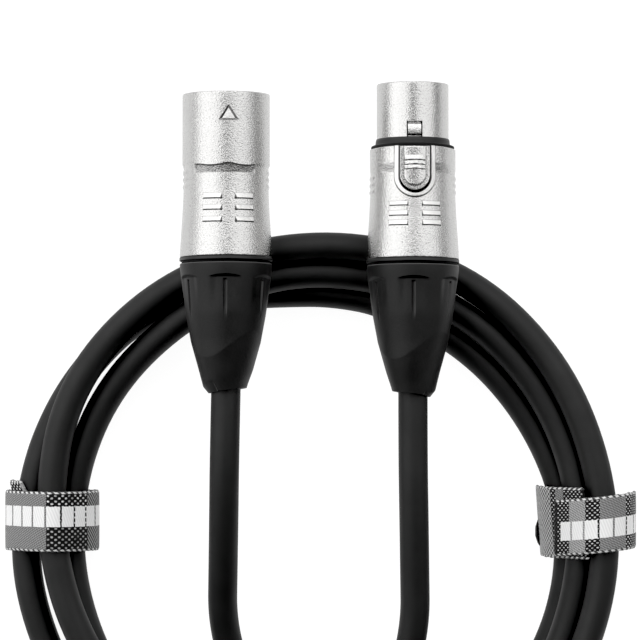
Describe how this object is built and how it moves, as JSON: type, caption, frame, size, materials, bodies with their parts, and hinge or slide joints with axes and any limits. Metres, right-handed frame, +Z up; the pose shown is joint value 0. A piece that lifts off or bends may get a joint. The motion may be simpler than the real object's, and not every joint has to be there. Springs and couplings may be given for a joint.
{
  "type": "xlr microphone cable coil",
  "caption": "Black microphone cable wound into a flat coil and tied, with a male and a female metal XLR connector lying across it.",
  "frame": {"origin": "on the surface that the coil lies on, in the middle of the rectangle over the connectors and the ties", "axes": "+Z up from that surface, +X from the left tie to the right tie, +Y the way the connectors' noses point"},
  "size_m": [0.141, 0.1674, 0.0352],
  "materials": {
    "shell": "bead-blasted satin nickel",
    "black_ring": "satin black",
    "insert": "black moulded, slightly glossy",
    "contact": "plated, bright",
    "steel": "bright spring steel",
    "boot": "satin charcoal black",
    "chuck": "moulded",
    "jacket": "satin black PVC",
    "wire_shield": "sleeved drain wire",
    "wire_hot": "insulated wire",
    "wire_cold": "insulated wire",
    "strap": "woven hook-and-loop, black with light grey blocks"
  },
  "bodies": {
    "cable": {"male_shell": "shell", "female_shell": "shell", "female_nose": "shell", "female_front_ring": "black_ring", "male_coding_ring": "black_ring", "female_coding_ring": "black_ring", "male_insert": "insert", "female_insert": "insert", "male_pin_1": "contact", "male_pin_2": "contact", "male_pin_3": "contact", "female_contact_1": "contact", "female_contact_2": "contact", "female_contact_3": "contact", "female_latch_pin": "steel", "female_latch_spring": "steel", "male_earth_spring": "steel", "female_earth_spring": "steel", "male_cable_chuck": "chuck", "female_cable_chuck": "chuck", "male_cable_end": "jacket", "female_cable_end": "jacket", "cable_coil": "jacket", "male_lead": "jacket", "female_lead": "jacket", "male_conductor_1": "wire_shield", "female_conductor_1": "wire_shield", "male_conductor_2": "wire_hot", "female_conductor_2": "wire_hot", "male_conductor_3": "wire_cold", "female_conductor_3": "wire_cold", "left_tie": "strap", "right_tie": "strap"},
    "latch": {"female_latch": "shell"},
    "male_boot": {"male_boot": "boot"},
    "female_boot": {"female_boot": "boot"}
  },
  "joints": [
    {"name": "latch_press", "type": "hinge", "parent": "cable", "child": "latch", "pos_m": [0.02065, 0.04655, 0.02781], "axis": [0.9994, -0.0018, -0.0349], "range_deg": [0, 7], "stiffness_Nm_per_rad": 0.15, "springref_deg": -3.44, "deforming": ["female_latch_spring"]},
    {"name": "male_boot_turn", "type": "hinge", "parent": "cable", "child": "male_boot", "pos_m": [-0.0207, 0.0137, 0.0249], "axis": [0, 0.9986, -0.0523], "continuous": true},
    {"name": "female_boot_turn", "type": "hinge", "parent": "cable", "child": "female_boot", "pos_m": [0.02045, 0.0133, 0.02395], "axis": [0, 0.9986, -0.0523], "continuous": true}
  ]
}
